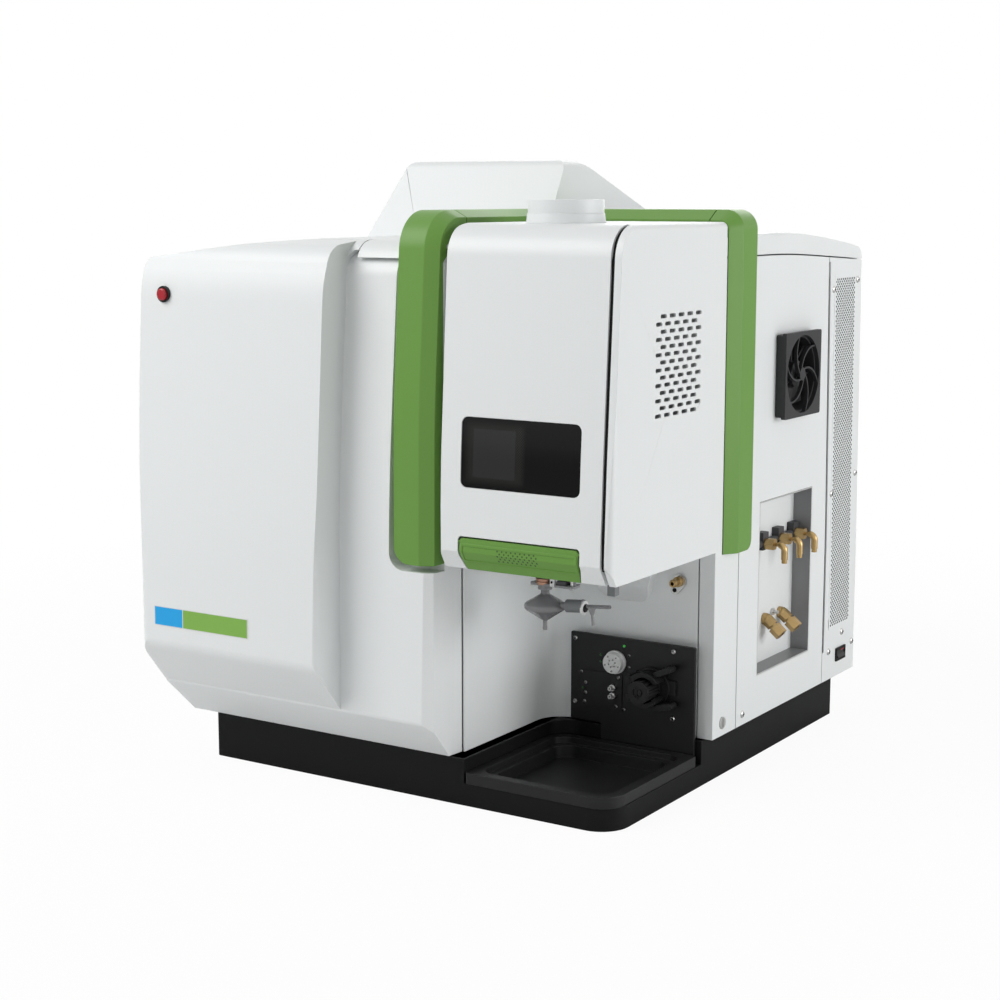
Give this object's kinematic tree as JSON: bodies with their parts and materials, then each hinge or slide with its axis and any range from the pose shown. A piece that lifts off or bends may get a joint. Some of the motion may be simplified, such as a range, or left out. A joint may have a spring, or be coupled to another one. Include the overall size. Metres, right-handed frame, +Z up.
{
  "type": "optical emission spectrometer",
  "caption": "Bench plasma emission spectrometer: tall white body on a black plinth, green band, lift-up torch door over an open sample bay with pump and tray.",
  "frame": {"origin": "centre of the plinth's underside", "axes": "+Z up, -Y to the front, +X to the right side with the services"},
  "size_m": [0.7252, 0.8189, 0.8285],
  "materials": {
    "black_paint": "satin black powder coat",
    "white_paint": "fine-textured off-white paint",
    "green_paint": "satin leaf green paint",
    "steel": "plain steel",
    "aluminium": "mill finish",
    "dark_glass": "dark tinted glass",
    "dark_screen": "fine black mesh",
    "clear_glass": "clear glass",
    "grey_plastic": "grey moulding",
    "black_plastic": "black moulding",
    "red_plastic": "glossy red",
    "white_plastic": "white moulding",
    "lamp_plastic": "clear lamp",
    "brass": "plain brass"
  },
  "bodies": {
    "instrument": {"band_front_upright": "green_paint", "band_side_upright": "green_paint", "band_top_left": "green_paint", "band_top_right": "green_paint", "base_plinth": "black_paint", "bay_port": "steel", "bay_wall": "white_paint", "button_ring": "black_plastic", "chamber_clamp": "steel", "chamber_sleeve": "grey_plastic", "chassis_floor": "steel", "chassis_frame": "aluminium", "door_catch": "grey_plastic", "door_hinge_pin": "steel", "drip_tray": "black_plastic", "exhaust_collar": "white_paint", "fan_frame": "black_plastic", "fan_guard": "black_plastic", "front_cover": "white_paint", "front_panel": "white_paint", "gas_elbows": "brass", "gas_manifold": "grey_plastic", "hump_cover": "white_paint", "indicator_lamps": "lamp_plastic", "injector_plate": "black_paint", "left_side_panel": "white_paint", "load_coil": "aluminium", "nebuliser": "white_plastic", "optics_housing": "aluminium", "power_supply": "aluminium", "pump_body": "black_plastic", "pump_plate": "black_paint", "pump_screws": "steel", "rear_panel": "white_paint", "rear_strip": "white_paint", "rf_generator": "aluminium", "right_side_panel": "white_paint", "rocker_frame": "black_paint", "service_column": "white_paint", "service_recess": "white_paint", "side_screws": "steel", "spray_chamber": "clear_glass", "top_cover": "white_paint", "torch_box": "white_paint", "torch_mount": "grey_plastic", "torch_tube": "clear_glass", "tube_fittings": "steel", "valve_head": "white_plastic", "water_fittings": "brass"},
    "door": {"torch_door": "white_paint", "window_glass": "dark_glass", "window_screen": "dark_screen"},
    "paddle": {"door_handle": "green_paint"},
    "rotor": {"fan_rotor": "black_plastic"},
    "drum": {"pump_drum": "black_plastic"},
    "clamp_above": {"upper_clamp": "black_plastic"},
    "clamp_below": {"lower_clamp": "black_plastic"},
    "button": {"red_button": "red_plastic"},
    "rocker": {"rocker_key": "black_plastic"},
    "cam": {"lock_cam": "steel"}
  },
  "joints": [
    {"name": "door_lift", "type": "hinge", "parent": "instrument", "child": "door", "pos_m": [0.2, -0.3057, 0.745], "axis": [-1, 0, 0], "range_deg": [0, 75]},
    {"name": "paddle_pull", "type": "hinge", "parent": "door", "child": "paddle", "pos_m": [0.2014, -0.3689, 0.354], "axis": [-1, 0, 0], "range_deg": [0, 12], "stiffness_Nm_per_rad": 0.8, "springref_deg": -3.44},
    {"name": "fan_spin", "type": "hinge", "parent": "instrument", "child": "rotor", "pos_m": [0.324, 0.1425, 0.535], "axis": [1, 0, 0], "continuous": true},
    {"name": "pump_spin", "type": "hinge", "parent": "instrument", "child": "drum", "pos_m": [0.249, -0.13, 0.129], "axis": [0, -1, 0], "continuous": true},
    {"name": "clamp_above_swing", "type": "hinge", "parent": "instrument", "child": "clamp_above", "pos_m": [0.22735, -0.122, 0.1415], "axis": [0, -1, 0], "range_deg": [0, 40]},
    {"name": "clamp_below_swing", "type": "hinge", "parent": "instrument", "child": "clamp_below", "pos_m": [0.22735, -0.122, 0.1165], "axis": [0, 1, 0], "range_deg": [0, 40]},
    {"name": "button_press", "type": "slide", "parent": "instrument", "child": "button", "axis": [0, 1, 0], "range_m": [0, 0.004], "stiffness_N_per_m": 400, "springref_m": -0.002},
    {"name": "rocker_tilt", "type": "hinge", "parent": "instrument", "child": "rocker", "pos_m": [0.331, 0.3382, 0.0957], "axis": [0, 1, 0], "range_deg": [0, 12]},
    {"name": "lock_turn", "type": "hinge", "parent": "instrument", "child": "cam", "pos_m": [0.331, -0.06, 0.08], "axis": [1, 0, 0], "range_deg": [0, 90]}
  ]
}
